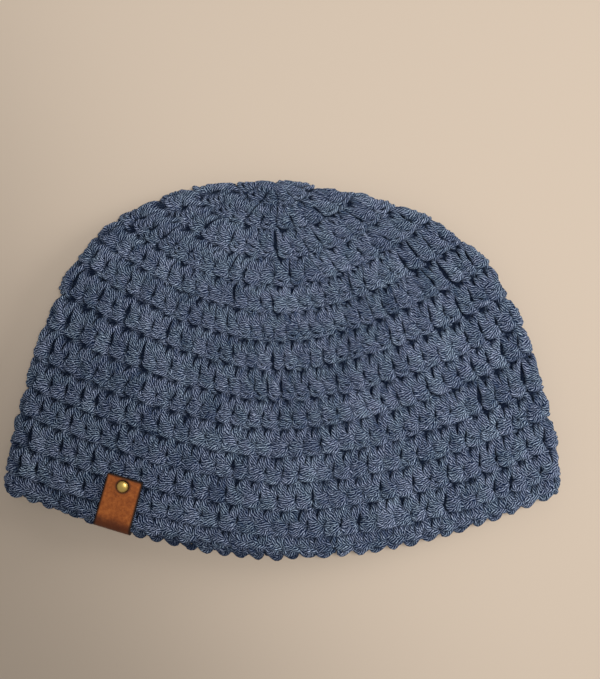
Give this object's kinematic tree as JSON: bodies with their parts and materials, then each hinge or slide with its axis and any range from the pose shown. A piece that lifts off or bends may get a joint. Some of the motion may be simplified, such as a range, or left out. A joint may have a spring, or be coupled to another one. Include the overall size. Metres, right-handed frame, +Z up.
{
  "type": "crocheted beanie",
  "caption": "Crocheted yarn beanie lying flat, worked in rounds from the crown, with an edging band at the mouth and a folded leather tag riveted over the front hem.",
  "frame": {"origin": "middle of the footprint, on the surface that the beanie lies on", "axes": "+X to the right across the flattened beanie, +Y from the mouth to the crown, +Z up out of the front layer"},
  "size_m": [0.2598, 0.1772, 0.0201],
  "materials": {
    "yarn": "denim blue plied worsted yarn, matt and slightly fuzzy, in double crochet rounds",
    "yarn_edging": "the same yarn in a tight single crochet edging with small bumps along the hem",
    "tag_leather": "smooth tan leather with darker burnt cut edges and a darkened fold",
    "rivet_brass": "antique brass, worn bright on the dome and dark round the rim"
  },
  "bodies": {
    "root": {"crown": "yarn", "hem_edging": "yarn_edging", "tag": "tag_leather", "rivet": "rivet_brass"}
  },
  "joints": []
}
